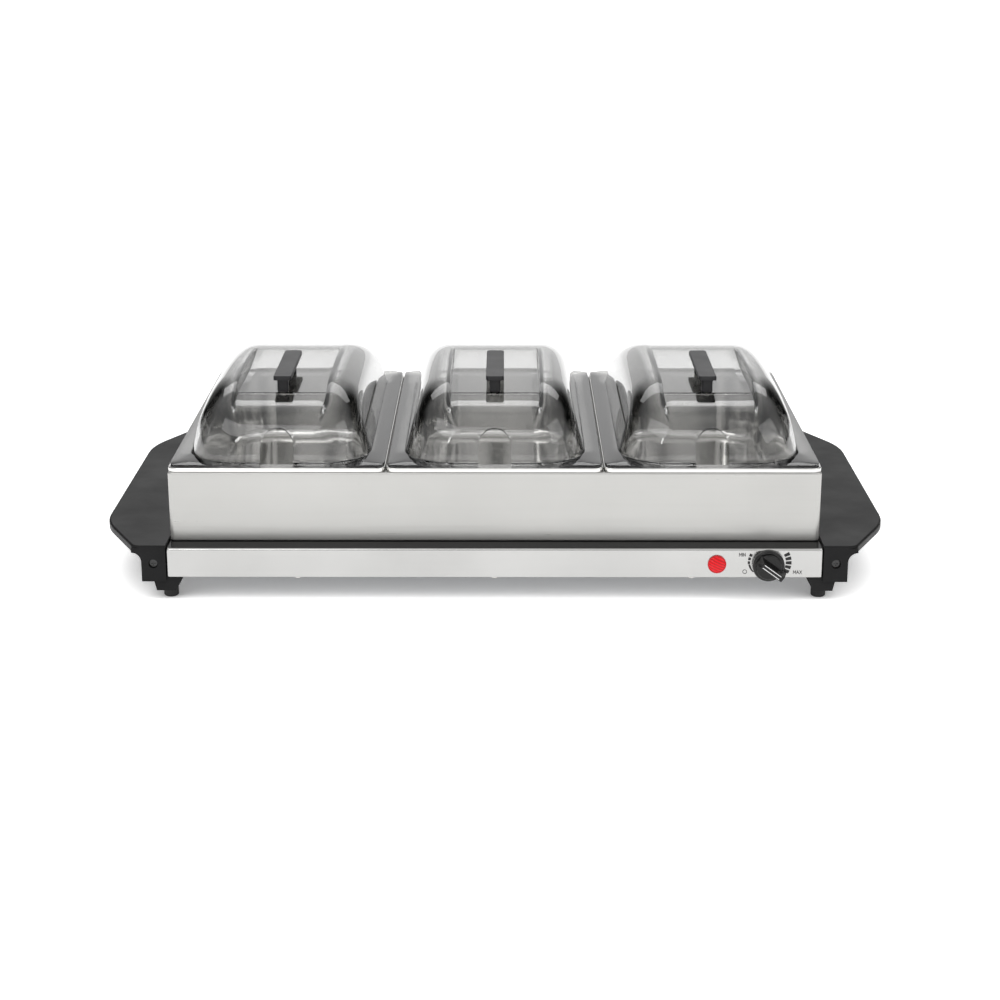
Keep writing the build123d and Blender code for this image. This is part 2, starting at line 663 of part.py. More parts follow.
# ---- pans ----
def pan():
    width = PAN_PITCH - PAN_GAP
    depth = FRAME_D - PAN_GAP
    flange = prism(width, depth, 7, PAN_RIM_TOP - PAN_SHEET, PAN_RIM_TOP)
    bead = prism(width, depth, 7, FRAME_TOP, PAN_RIM_TOP)
    bead -= prism(width - 2 * BEAD_W, depth - 2 * BEAD_W, 7 - BEAD_W, FRAME_TOP - 1, PAN_RIM_TOP + 1)
    rim = bead + flange
    outside = [e for e in level_edges(rim, PAN_RIM_TOP)]
    rim = fillet(outside, 0.8)
    under = [e for e in level_edges(rim, FRAME_TOP)]
    rim = fillet(under, 0.8)
    outer = prism(WELL_W + 2 * PAN_SHEET, WELL_D + 2 * PAN_SHEET, WELL_R + PAN_SHEET,
                  PAN_RIM_TOP, PAN_BOTTOM, taper=WELL_TAPER)
    outer = fillet(level_edges(outer, PAN_BOTTOM), 9)
    inner = prism(WELL_W, WELL_D, WELL_R, PAN_RIM_TOP, PAN_BOTTOM + PAN_SHEET, taper=WELL_TAPER)
    inner = fillet(level_edges(inner, PAN_BOTTOM + PAN_SHEET), 8.2)
    cap = prism(WELL_W, WELL_D, WELL_R, PAN_RIM_TOP - 0.01, PAN_RIM_TOP + 1)
    return rim + outer - inner - cap


# ---- lids ----
def dome_rise(y, inset):
    """Height of the dome above the flange at a distance y from the lid's middle."""
    ahead = y < LID_CREST_Y
    reach = LID_D / 2 - inset + (LID_CREST_Y if ahead else -LID_CREST_Y)
    power = LID_FRONT_POWER if ahead else LID_REAR_POWER
    share = abs(y - LID_CREST_Y) / reach
    return (LID_TOP - inset - LID_FLANGE_TOP) * (1 - share ** power) ** (1 / power)


def dome_section(y, inset):
    """Cross-section of the dome: drafted sides, round shoulders, flat top."""
    rise = dome_rise(y, inset)
    foot = PAN_RIM_TOP - 1 - LID_FLANGE_TOP
    half_w = LID_W / 2 - inset
    draft = radians(LID_DRAFT)
    bend = min(LID_SHOULDER_R - inset, 1.1 * rise)
    centre_x = half_w - (rise - bend) * tan(draft) - bend / cos(draft)
    centre_z = rise - bend
    halfway = (draft + radians(90)) / 2
    sides = []
    for side in (1, -1):
        low = (side * (centre_x + bend * cos(draft)), centre_z + bend * sin(draft))
        middle = (side * (centre_x + bend * cos(halfway)), centre_z + bend * sin(halfway))
        sides += [Line((side * half_w, foot), (side * half_w, 0)).edge(),
                  Line((side * half_w, 0), low).edge(),
                  ThreePointArc(low, middle, (side * centre_x, rise)).edge()]
    crown = Line((centre_x, rise), (-centre_x, rise)).edge()
    bottom = Line((half_w, foot), (-half_w, foot)).edge()
    plane = Plane(origin=(0, y, LID_FLANGE_TOP), x_dir=(1, 0, 0), z_dir=(0, -1, 0))
    return plane * make_face(sides + [crown, bottom])


def dome_solid(inset):
    """Domed body between the flange and the top, drawn in from the outside by inset."""
    shares = [sin(radians(90 * k / LID_STATIONS)) for k in range(LID_STATIONS)] + [0.9995]
    front_reach = LID_D / 2 - inset + LID_CREST_Y
    rear_reach = LID_D / 2 - inset - LID_CREST_Y
    places = [LID_CREST_Y - share * front_reach for share in reversed(shares[1:])]
    places += [LID_CREST_Y + share * rear_reach for share in shares]
    body = loft([dome_section(y, inset) for y in places], ruled=True)
    plan = prism(LID_W - 2 * inset, LID_D - 2 * inset, LID_R - inset, PAN_RIM_TOP - 1, LID_TOP + 1)
    return body & plan


def recess_solid(grow):
    """Pocket in the lid's top, level under the grip, falling to the front and rising to the rear."""
    floor = RECESS_FLOOR - grow
    rear = LID_D / 2
    rear_floor = floor + (rear - RECESS_RISE_Y) * tan(radians(RECESS_REAR_SLOPE))
    half = RECESS_HALF_W + grow
    side = [(-rear, RECESS_NOSE - grow), (RECESS_BREAK_Y, floor), (RECESS_RISE_Y, floor),
            (rear, rear_floor), (rear, GRIP_TOP + 10), (-rear, GRIP_TOP + 10)]
    face = make_face(Polyline(*[(-half, y, z) for y, z in side], close=True).edges())
    return extrude(face, amount=2 * half, dir=(1, 0, 0))


def notch_solid():
    half = NOTCH_W / 2
    front = -LID_D / 2 - 12
    slot = block(-half, half, front, front + 60, PAN_RIM_TOP - 5, NOTCH_TOP - half)
    return slot + post_y(0, NOTCH_TOP - half, front, front + 60, half)


def lid_dome():
    shell = dome_solid(0) - recess_solid(0)
    hollow = dome_solid(LID_WALL) - recess_solid(LID_WALL)
    flange = prism(PAN_PITCH - PAN_GAP - 1.6, FRAME_D - PAN_GAP - 1.6, 6.4, PAN_RIM_TOP, LID_FLANGE_TOP)
    flange = fillet(level_edges(flange, LID_FLANGE_TOP), 0.8)
    rib = prism(WELL_W - 1.4, WELL_D - 1.4, WELL_R - 0.7, PAN_RIM_TOP - 2.4, PAN_RIM_TOP + 0.5)
    mouth = prism(LID_W - 2 * LID_WALL, WELL_D - 1.4 - 2 * LID_WALL, LID_R - LID_WALL,
                  PAN_RIM_TOP - 4, LID_FLANGE_TOP)
    above = block(-LID_W, LID_W, -LID_D, LID_D, PAN_RIM_TOP, LID_TOP + 5)
    lid = (shell & above) + flange + rib - (hollow & above) - mouth - notch_solid()
    for y in grip_post_places():
        lid -= post_z(0, y, RECESS_FLOOR - 4, RECESS_FLOOR + 1, GRIP_SCREW_R + FIT)
    return lid


def grip_post_places():
    return (GRIP_FRONT + 2 + POST_L / 2, GRIP_BACK - 22 - POST_L / 2)


def lid_grip():
    top = GRIP_TOP
    outline = Pos(0, (GRIP_FRONT + GRIP_BACK) / 2, top - GRIP_THICK) * RectangleRounded(
        GRIP_W, GRIP_BACK - GRIP_FRONT, 2.6)
    bar = extrude(outline, amount=GRIP_THICK)
    bar = fillet(level_edges(bar, top), 1.0)
    for y in grip_post_places():
        post = Pos(0, y, RECESS_FLOOR) * RectangleRounded(POST_W, POST_L, 1.5)
        bar += extrude(post, amount=top - GRIP_THICK - RECESS_FLOOR + 0.5)
    for y in grip_post_places():
        bar -= post_z(0, y, RECESS_FLOOR - 1, RECESS_FLOOR + 7, GRIP_SCREW_R + FIT)
    return bar


def lid_screws():
    under = RECESS_FLOOR - LID_WALL - WASHER
    screws = []
    for y in grip_post_places():
        head = post_z(0, y, under - 1.8, under, 3.4)
        head = fillet(level_edges(head, under - 1.8), 0.9)
        screws.append(head + post_z(0, y, under, RECESS_FLOOR + 7, GRIP_SCREW_R))
    return group(screws)


def lid_washers():
    top = RECESS_FLOOR - LID_WALL
    washers = []
    for y in grip_post_places():
        disc = post_z(0, y, top - WASHER, top, 4.6)
        washers.append(disc - post_z(0, y, top - 2, top + 1, GRIP_SCREW_R + FIT))
    return group(washers)


def main():
    os.makedirs("parts", exist_ok=True)
    save("tray_shell", tray_shell())
    save("bottom_cover", bottom_cover())
    save("cover_screws", cover_screws())
    right_handle = handle()
    save("handle_right", right_handle)
    save("handle_left", mirror(right_handle, about=Plane.YZ))
    save("handle_end_screws", handle_end_screws())
    save("handle_side_screws", handle_side_screws())
    for side, side_name in ((-1, "left"), (1, "right")):
        for end, end_name in ((-1, "front"), (1, "rear")):
            save(f"rubber_foot_{end_name}_{side_name}", rubber_foot(side, end))

    save("heater_cord", heater_cord())
    save("heater_foil", heater_plate(FOIL_TOP, FOIL))
    save("insulation_pad", heater_plate(PAD_TOP, PAD))
    save("retainer_plate", heater_plate(RETAINER_TOP, RETAINER))
    save("heater_studs", heater_studs())
    save("stud_nuts", stud_nuts())

    save("thermostat_body", thermostat_body())
    save("thermostat_bracket", thermostat_bracket())
    save("thermostat_nut", thermostat_nut())
    save("thermostat_spindle", thermostat_spindle())
    save("knob_body", knob_body())
    save("knob_pointer", knob_pointer())
    save("dial_marks", dial_marks())
    save("indicator_lens", indicator_lens())
    save("lamp_nut", lamp_nut())
    save("neon_lamp", neon_lamp())

    save("cord_gland", cord_gland())
    save("terminal_block", terminal_block())
    save("terminal_screws", terminal_screws())
    save("live_lead", live_lead())
    save("neutral_lead", neutral_lead())
    save("earth_lead", earth_lead())
    save("earth_lug", earth_lug())
    save("thermal_cutoff", thermal_cutoff())

    save("frame_front_half", frame_half(-1))
    save("frame_rear_half", frame_half(1))
    save("crossbar_left", crossbar(-PAN_PITCH / 2))
    save("crossbar_right", crossbar(PAN_PITCH / 2))
    save("crossbar_rivets", crossbar_rivets())
    save("seam_plates", seam_plates())
    save("seam_rivets", seam_rivets())

    pan_solid = pan()
    dome = lid_dome()
    grip = lid_grip()
    screws = lid_screws()
    washers = lid_washers()
    for x, name in zip(PAN_X, PAN_NAMES):
        save(f"pan_{name}", Pos(x, 0, 0) * pan_solid)
        save(f"lid_dome_{name}", Pos(x, 0, 0) * dome)
        save(f"lid_grip_{name}", Pos(x, 0, 0) * grip)
        save(f"lid_screws_{name}", Pos(x, 0, 0) * screws)
        save(f"lid_washers_{name}", Pos(x, 0, 0) * washers)


if __name__ == "__main__":
    main()
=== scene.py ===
import math

import bmesh
import bpy
import mathutils
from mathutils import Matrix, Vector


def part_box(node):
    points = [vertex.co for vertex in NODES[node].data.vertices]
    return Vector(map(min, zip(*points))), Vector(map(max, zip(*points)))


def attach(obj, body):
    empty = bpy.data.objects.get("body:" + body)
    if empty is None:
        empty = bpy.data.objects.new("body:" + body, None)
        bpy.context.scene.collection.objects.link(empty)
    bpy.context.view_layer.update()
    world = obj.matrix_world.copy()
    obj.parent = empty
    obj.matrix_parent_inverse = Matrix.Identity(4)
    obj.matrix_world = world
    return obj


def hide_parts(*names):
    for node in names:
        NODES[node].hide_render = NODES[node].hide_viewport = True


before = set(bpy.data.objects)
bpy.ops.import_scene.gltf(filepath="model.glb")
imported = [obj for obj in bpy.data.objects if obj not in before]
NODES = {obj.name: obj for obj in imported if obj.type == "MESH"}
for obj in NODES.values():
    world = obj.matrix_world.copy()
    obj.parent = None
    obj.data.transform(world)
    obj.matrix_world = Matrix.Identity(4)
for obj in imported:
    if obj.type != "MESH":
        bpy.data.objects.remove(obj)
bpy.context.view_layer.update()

SIDES = ("left", "middle", "right")
MM = 0.001


# ---- node helpers ----
class Tree:
    """A material's nodes, made one by one and wired by name."""

    def __init__(self, name):
        self.material = bpy.data.materials.new(name)
        self.material.use_nodes = True
        self.nodes = self.material.node_tree.nodes
        self.links = self.material.node_tree.links
        self.shader = self.nodes["Principled BSDF"]
        self.place = self.nodes.new("ShaderNodeTexCoord").outputs["Object"]

    def set(self, **values):
        for name, value in values.items():
            self.shader.inputs[name.replace("_", " ")].default_value = value
        return self

    def mapped(self, scale, rotation=(0, 0, 0)):
        node = self.nodes.new("ShaderNodeMapping")
        node.inputs["Scale"].default_value = scale
        node.inputs["Rotation"].default_value = rotation
        self.links.new(self.place, node.inputs["Vector"])
        return node.outputs["Vector"]

    def noise(self, vector, scale, detail=4.0, rough=0.55):
        node = self.nodes.new("ShaderNodeTexNoise")
        node.inputs["Scale"].default_value = scale
        node.inputs["Detail"].default_value = detail
        node.inputs["Roughness"].default_value = rough
        self.links.new(vector, node.inputs["Vector"])
        return node.outputs["Fac"]

    def ramp(self, fac, low, high, start=0.3, stop=0.7):
        node = self.nodes.new("ShaderNodeMapRange")
        node.inputs["From Min"].default_value = start
        node.inputs["From Max"].default_value = stop
        node.inputs["To Min"].default_value = low
        node.inputs["To Max"].default_value = high
        self.links.new(fac, node.inputs["Value"])
        return node.outputs["Result"]

    def blend_colour(self, fac, first, second):
        node = self.nodes.new("ShaderNodeMix")
        node.data_type = "RGBA"
        node.inputs["A"].default_value = (*first, 1)
        node.inputs["B"].default_value = (*second, 1)
        self.links.new(fac, node.inputs["Factor"])
        return node.outputs["Result"]

    def part(self, vector, axis):
        node = self.nodes.new("ShaderNodeSeparateXYZ")
        self.links.new(vector, node.inputs["Vector"])
        return node.outputs[axis]

    def math(self, operation, first, second=None):
        node = self.nodes.new("ShaderNodeMath")
        node.operation = operation
        self.links.new(first, node.inputs[0])
        if second is not None:
            self.links.new(second, node.inputs[1])
        return node.outputs["Value"]

    def bump(self, height, distance, strength=1.0):
        node = self.nodes.new("ShaderNodeBump")
        node.inputs["Distance"].default_value = distance
        node.inputs["Strength"].default_value = strength
        self.links.new(height, node.inputs["Height"])
        self.links.new(node.outputs["Normal"], self.shader.inputs["Normal"])
        return self

    def wire(self, output, socket):
        self.links.new(output, self.shader.inputs[socket])
        return self


def brushed_metal(name, tint, rough, grain_scale, grain_axis="X", bump=0.00001, metallic=1.0):
    """Steel with long fine scratches along one axis."""
    tree = Tree(name)
    stretch = {"X": (0.02, 1, 1), "Y": (1, 0.02, 1), "Z": (1, 1, 0.02)}[grain_axis]
    grain = tree.noise(tree.mapped(stretch), grain_scale, 6.0, 0.7)
    cloud = tree.noise(tree.mapped((1, 1, 1)), 9.0, 3.0)
    tree.set(Metallic=metallic, Anisotropic=0.35)
    tree.wire(tree.ramp(grain, rough * 0.8, rough * 1.25), "Roughness")
    dark = tuple(0.93 * c for c in tint)
    tree.wire(tree.blend_colour(tree.ramp(cloud, 0.0, 1.0), dark, tint), "Base Color")
    tree.bump(grain, bump)
    return tree.material


def moulded_plastic(name, colour, rough, grain=900.0, bump=0.00004, gloss=0.32):
    """Plastic with a fine spark-eroded texture and faint handling marks."""
    tree = Tree(name)
    texture = tree.noise(tree.mapped((1, 1, 1)), grain, 3.0, 0.6)
    smear = tree.noise(tree.mapped((1, 1, 1)), 22.0, 5.0)
    light = tuple(min(1.0, 1.25 * c + 0.003) for c in colour)
    tree.shader.inputs["Specular IOR Level"].default_value = gloss
    tree.wire(tree.ramp(smear, rough * 0.85, rough * 1.18), "Roughness")
    tree.wire(tree.blend_colour(tree.ramp(smear, 0.0, 1.0), colour, light), "Base Color")
    tree.bump(texture, bump, 0.6)
    return tree.material


def clear_plastic(name):
    """Smoky clear polycarbonate, with painted shade over the lids' shoulders and where it is seen edge
    on.
    """
    tree = Tree(name)
    wipe = tree.noise(tree.mapped((1, 0.15, 1)), 60.0, 5.0)
    tree.set(Transmission_Weight=1.0, IOR=1.5)
    tree.wire(tree.ramp(wipe, 0.0, 0.03), "Roughness")
    # painted shade: over the lids' upper shoulders, where the sides turn, the colour goes dark
    sideways = tree.part(tree.nodes.new("ShaderNodeTexCoord").outputs["Normal"], "X")
    height = tree.part(tree.place, "Z")
    painted_shoulder_shade = tree.math("MULTIPLY", tree.ramp(tree.math("ABSOLUTE", sideways), 0.0, 1.0, 0.04, 0.40),
                         tree.ramp(height, 0.0, 1.0, 0.118, 0.140))
    # painted shade: where the lid is seen edge on, the colour goes dark too, drawing dark outlines
    turned = tree.nodes.new("ShaderNodeLayerWeight")
    turned.inputs["Blend"].default_value = 0.5
    painted_edge_shade = tree.ramp(turned.outputs["Facing"], 0.0, 1.0, 0.55, 0.95)
    tint = tree.math("MAXIMUM", painted_shoulder_shade, painted_edge_shade)
    tree.wire(tree.blend_colour(tint, (0.985, 0.985, 0.985), (0.16, 0.16, 0.155)), "Base Color")
    # painted shade: where shoulder and edge-on shade meet, less light passes through
    tree.wire(tree.ramp(tree.math("MULTIPLY", painted_edge_shade, painted_shoulder_shade), 1.0, 0.35), "Transmission Weight")
    smoke = tree.nodes.new("ShaderNodeVolumeAbsorption")
    smoke.inputs["Color"].default_value = (0.20, 0.20, 0.19, 1)
    smoke.inputs["Density"].default_value = 110.0
    tree.links.new(smoke.outputs["Volume"], tree.nodes["Material Output"].inputs["Volume"])
    return tree.material


def tray_metal(name):
    """Brushed steel, black and glossy where its faces point straight up."""
    tree = Tree(name)
    grain = tree.noise(tree.mapped((0.02, 1, 1)), 420.0, 6.0, 0.7)
    cloud = tree.noise(tree.mapped((1, 1, 1)), 9.0, 3.0)
    upward = tree.part(tree.nodes.new("ShaderNodeTexCoord").outputs["Normal"], "Z")
    level = tree.ramp(upward, 0.0, 1.0, 0.95, 0.985)
    steel = tree.blend_colour(tree.ramp(cloud, 0.0, 1.0), (0.42, 0.418, 0.410), (0.48, 0.478, 0.470))
    both = tree.nodes.new("ShaderNodeMix")
    both.data_type = "RGBA"
    tree.links.new(level, both.inputs["Factor"])
    tree.links.new(steel, both.inputs["A"])
    both.inputs["B"].default_value = (0.004, 0.004, 0.004, 1)
    tree.wire(both.outputs["Result"], "Base Color")
    tree.wire(tree.ramp(level, 1.0, 0.0, 0.0, 1.0), "Metallic")
    rough = tree.nodes.new("ShaderNodeMix")
    tree.links.new(level, rough.inputs["Factor"])
    tree.links.new(tree.ramp(grain, 0.17, 0.26), rough.inputs["A"])
    rough.inputs["B"].default_value = 0.06
    tree.wire(rough.outputs["Result"], "Roughness")
    tree.set(IOR=1.16)
    tree.bump(grain, 0.00001)
    return tree.material


def red_lens(name):
    """Red lens with slanted moulded prisms, their light and dark lines painted into its colour, darker
    towards its rim, with a faint painted glow.
    """
    tree = Tree(name)
    wave = tree.nodes.new("ShaderNodeTexWave")
    wave.inputs["Scale"].default_value = 150.0
    wave.inputs["Distortion"].default_value = 0.6
    tree.links.new(tree.mapped((1, 1, 1), (0, math.radians(65), 0)), wave.inputs["Vector"])
    # painted light and shade: the prisms' lines are painted as dark and light bands of red, besides
    # their bump
    fac = tree.ramp(wave.outputs["Fac"], 0.0, 1.0, 0.1, 0.9)
    low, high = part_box("indicator_lens")
    front_middle = ((low.x + high.x) / 2, low.y, (low.z + high.z) / 2)
    reach = tree.nodes.new("ShaderNodeVectorMath")
    reach.operation = "DISTANCE"
    reach.inputs[1].default_value = front_middle
    tree.links.new(tree.place, reach.inputs[0])
    inside_rim = tree.ramp(reach.outputs["Value"], 1.0, 0.0, 0.0062, 0.0072)
    fac = tree.math("MULTIPLY", fac, inside_rim)
    tree.wire(tree.blend_colour(fac, (0.36, 0.0005, 0.003), (0.70, 0.001, 0.008)), "Base Color")
    tree.set(Roughness=0.08, IOR=1.45)
    tree.shader.inputs["Specular IOR Level"].default_value = 0.35
    # painted glow: the lens gives off faint red light of its own
    tree.shader.inputs["Emission Color"].default_value = (0.8, 0.0, 0.01, 1)
    tree.shader.inputs["Emission Strength"].default_value = 0.05
    tree.bump(wave.outputs["Fac"], 0.0003, 0.5)
    return tree.material


def dress(material, *names):
    """Give the named CAD nodes one material in every slot."""
    for name in names:
        if not NODES[name].material_slots:
            NODES[name].data.materials.append(material)
        for entry in NODES[name].material_slots:
            entry.material = material


TRAY_STEEL = tray_metal("tray_steel")
FRAME_STEEL = brushed_metal("frame_steel", (0.47, 0.467, 0.452), 0.34, 420.0, "X", 0.000004, 0.7)
PAN_STEEL = brushed_metal("pan_steel", (0.68, 0.675, 0.66), 0.12, 300.0, "Y", 0.000004)
PLATED = brushed_metal("plated_steel", (0.55, 0.56, 0.57), 0.38, 120.0)
ZINC = brushed_metal("zinc", (0.62, 0.61, 0.58), 0.30, 260.0)
FOIL = brushed_metal("foil", (0.82, 0.83, 0.84), 0.25, 80.0)
HANDLE = moulded_plastic("handle_plastic", (0.011, 0.011, 0.0112), 0.40, gloss=0.06)
GRIP = moulded_plastic("grip_plastic", (0.022, 0.022, 0.023), 0.38, gloss=0.15)
KNOB = moulded_plastic("knob_plastic", (0.003, 0.003, 0.003), 0.16, gloss=0.3)
# dark metal for the handles' end screws
DARK_SCREW_METAL = brushed_metal("dark_screw_metal", (0.06, 0.06, 0.06), 0.35, 260.0)
RUBBER = moulded_plastic("foot_rubber", (0.012, 0.012, 0.012), 0.60)
INK = moulded_plastic("dial_ink", (0.012, 0.012, 0.012), 0.5)
PHENOLIC = moulded_plastic("phenolic", (0.06, 0.035, 0.02), 0.45)
PAD = moulded_plastic("insulation", (0.72, 0.69, 0.62), 0.9, 300.0, 0.0006)
SILICONE = moulded_plastic("heater_silicone", (0.62, 0.58, 0.50), 0.55)
NYLON = moulded_plastic("nut_nylon", (0.62, 0.61, 0.57), 0.45)
# painted highlights: light grey lines along the knob's grip stand in for bright highlights on its ridge
# edges
GRIP_HIGHLIGHT_GREY = moulded_plastic("pointer_grey", (0.62, 0.62, 0.62), 0.35)
LEAD_BROWN = moulded_plastic("lead_brown", (0.16, 0.05, 0.02), 0.4)
LEAD_BLUE = moulded_plastic("lead_blue", (0.02, 0.08, 0.35), 0.4)
LEAD_GREEN = moulded_plastic("lead_green", (0.05, 0.28, 0.05), 0.4)
CLEAR = clear_plastic("clear_lid")
LENS = red_lens("red_lens")


def dress_all():
    dress(TRAY_STEEL, "tray_shell")
    dress(FRAME_STEEL, "frame_front_half", "frame_rear_half", "crossbar_left", "crossbar_right",
          "crossbar_rivets", "seam_plates", "seam_rivets")
    dress(PLATED, "bottom_cover", "retainer_plate", "thermostat_bracket")
    dress(DARK_SCREW_METAL, "handle_end_screws")
    dress(ZINC, "cover_screws", "handle_side_screws", "heater_studs", "stud_nuts",
          "thermostat_nut", "terminal_screws", "earth_lug", "thermostat_spindle", "thermal_cutoff")
    dress(HANDLE, "handle_left", "handle_right", "cord_gland")
    dress(KNOB, "knob_body")
    # the knob_pointer pieces carry the painted grip highlights
    dress(GRIP_HIGHLIGHT_GREY, "knob_pointer")
    dress(INK, "dial_marks")
    dress(LENS, "indicator_lens")
    dress(NYLON, "lamp_nut")
    dress(CLEAR, "neon_lamp")
    dress(PHENOLIC, "thermostat_body", "terminal_block")
    dress(SILICONE, "heater_cord")
    dress(FOIL, "heater_foil")
    dress(PAD, "insulation_pad")
    dress(LEAD_BROWN, "live_lead")
    dress(LEAD_BLUE, "neutral_lead")
    dress(LEAD_GREEN, "earth_lead")
    for end in ("front", "rear"):
        for side in ("left", "right"):
            dress(RUBBER, f"rubber_foot_{end}_{side}")
    for name in SIDES:
        dress(PAN_STEEL, f"pan_{name}")
        dress(GRIP, f"lid_grip_{name}")
        dress(ZINC, f"lid_screws_{name}", f"lid_washers_{name}")


# ---- lids: double-walled clear domes, in millimetres from each lid's middle ----
FLANGE_TOP = 104.0
DOME_RISE = 52.0
DOME_HALF_W = 71.6
DOME_HALF_D = 153.0
DOME_CORNER = 38.0
CREST_Y = -66.0
FRONT_POWER = 2.23
REAR_POWER = 2.5
SHOULDER = 27.3
DRAFT = math.radians(15.2)
WALL = 2.2
FLANGE_HALF_W = 84.0
FLANGE_HALF_D = 161.0
FLANGE_CORNER = 6.4
POCKET_FLOOR = 146.7
POCKET_BREAK_Y = -99.0            # ahead of this the floor falls away
POCKET_RISE_Y = -20.0             # behind this it rises
POCKET_FRONT_SLOPE = 0.0852
POCKET_REAR_SLOPE = 0.0945
POCKET_HALF_W = 36.0
BEAD_RISE = 0.6                   # moulded line across the pocket where its floor starts to fall
BEAD_WIDTH = 0.9
FRONT_BLEND = 2.2                 # the pocket runs out smoothly into the dome's front
REAR_BLEND = 0.3
STRAIGHT_FROM = 60.0              # a soft ramp is straight this many bends past its turn
POCKET_FRONT_END = -127.5         # about where the pocket runs out into the dome
POCKET_REAR_END = 41.0
NOTCH_HALF = 13.0
NOTCH_TOP = 129.0
RIB_BOTTOM = 99.4
EDGE_ROUND = 0.8
CORNER_CUT = 0.29                 # a quarter round's middle is this share of its radius off each edge


def soft_min(a, b, width):
    """The lower of two heights, with a rounded turn where they cross."""
    low = min(a, b)
    return low - width * math.log(math.exp((low - a) / width) + math.exp((low - b) / width))


def dome_rise(y, inset):
    """Height of the dome's middle line above the flange: steep ends and a crest ahead of the middle."""
    ahead = y < CREST_Y
    reach = DOME_HALF_D - inset + (CREST_Y if ahead else -CREST_Y)
    power = FRONT_POWER if ahead else REAR_POWER
    share = min(1.0, abs(y - CREST_Y) / reach)
    return (DOME_RISE - inset) * (1 - share ** power) ** (1 / power)


def plan_half_width(y, inset):
    """Half width of the dome's foot, with its round corners in plan."""
    corner = DOME_CORNER - inset
    past = abs(y) - (DOME_HALF_D - DOME_CORNER)
    straight = DOME_HALF_W - DOME_CORNER
    if past <= 0:
        return straight + corner
    return straight + math.sqrt(max(corner ** 2 - past ** 2, 0.0))


def pocket_height(y, inset):
    """Height of the pocket's floor along the lid, without the dome."""
    fall = soft_ramp(POCKET_BREAK_Y - y, 0.5) * POCKET_FRONT_SLOPE
    rise = soft_ramp(y - POCKET_RISE_Y, 2.0) * POCKET_REAR_SLOPE
    bead = BEAD_RISE * math.exp(-((y - POCKET_BREAK_Y) / BEAD_WIDTH) ** 2)
    return POCKET_FLOOR - inset - fall + rise + bead


def soft_ramp(value, bend):
    """Zero below zero and the value above, with a rounded turn between."""
    if value >= STRAIGHT_FROM * bend:
        return value
    return bend * math.log(1 + math.exp(value / bend))


def stations(inset):
    """Places along the lid, closer where the surface turns."""
    shares = [math.sin(math.pi / 2 * k / 26) for k in range(26)] + [0.9995]
    front = DOME_HALF_D - inset + CREST_Y
    rear = DOME_HALF_D - inset - CREST_Y
    places = [CREST_Y - share * front for share in shares]
    places += [CREST_Y + share * rear for share in shares[1:]]
    places += [POCKET_BREAK_Y + shift for shift in (-3, -1.5, -0.7, -0.2, 0.2, 0.7, 1.5, 3)]
    places += [POCKET_RISE_Y + shift for shift in (-6, -3, -1, 1, 3, 6)]
    places += [POCKET_REAR_END + shift for shift in (-5, -3.4, -2.2, -1.2, -0.4, 0.4, 1.2, 2.2, 3.4)]
    places += [POCKET_FRONT_END + shift for shift in (-3, -1.5, -0.5, 0.4, 1.2, 2.2, 3.4, 5)]
    return sorted(places)


def section(y, inset):
    """Right half of the lid's cross-section, from its foot to the middle."""
    rise = dome_rise(y, inset)
    half_w = plan_half_width(y, inset)
    bend = min(SHOULDER - inset, 1.1 * rise)
    centre_x = half_w - (rise - bend) * math.tan(DRAFT) - bend / math.cos(DRAFT)
    centre_z = rise - bend
    edge = (POCKET_HALF_W + inset) * half_w / (DOME_HALF_W - inset)
    low_x = centre_x + bend * math.cos(DRAFT)
    low_z = centre_z + bend * math.sin(DRAFT)
    points = []
    for k in range(7):
        share = k / 7
        points.append((half_w + (low_x - half_w) * share, low_z * share))
    outer_x = edge + EDGE_ROUND
    stop = math.acos(min(1.0, max(0.0, (outer_x - centre_x) / bend)))
    for k in range(12):
        turn = DRAFT + (stop - DRAFT) * k / 12
        points.append((centre_x + bend * math.cos(turn), centre_z + bend * math.sin(turn)))

    def height(x):
        if x <= centre_x:
            return rise
        return centre_z + math.sqrt(max(bend ** 2 - (x - centre_x) ** 2, 0.0))

    floor = soft_min(rise, pocket_height(y, inset) - FLANGE_TOP,
                     FRONT_BLEND if y < CREST_Y else REAR_BLEND)
    depth = max(0.0, height(edge) - floor)
    soft = min(EDGE_ROUND, depth / 2.2)
    foot = edge - 0.4
    points += [(outer_x, height(outer_x)),
               (edge + CORNER_CUT * EDGE_ROUND, height(edge) - CORNER_CUT * soft),
               (edge, height(edge) - soft),
               (foot, floor + soft),
               (foot - CORNER_CUT * EDGE_ROUND, floor + CORNER_CUT * soft),
               (foot - EDGE_ROUND, floor)]
    inner = foot - EDGE_ROUND
    points += [(inner * (1 - k / 6), floor) for k in range(1, 7)]
    return [(x, FLANGE_TOP + z) for x, z in points]


def skin(inset):
    """Grid of points over the dome: one row for each station, left to right."""
    rows = []
    for y in stations(inset):
        half = section(y, inset)
        row = [(-x, y, z) for x, z in half] + [(x, y, z) for x, z in reversed(half[:-1])]
        rows.append(row)
    return rows


def outline(rows, inset):
    """The skin's border, once round, as places in plan with their outward directions."""
    end_y = DOME_HALF_D - inset
    places = [(x, -end_y) for x, y, z in rows[0]]
    places += [(row[-1][0], row[-1][1]) for row in rows[1:-1]]
    places += [(x, end_y) for x, y, z in reversed(rows[-1])]
    places += [(row[0][0], row[0][1]) for row in reversed(rows[1:-1])]
    found = []
    for x, y in places:
        centre_x = DOME_HALF_W - DOME_CORNER
        centre_y = DOME_HALF_D - DOME_CORNER
        dx = math.copysign(max(abs(x) - centre_x, 0.0), x)
        dy = math.copysign(max(abs(y) - centre_y, 0.0), y)
        size = math.hypot(dx, dy) or 1.0
        found.append((x, y, dx / size, dy / size))
    return found


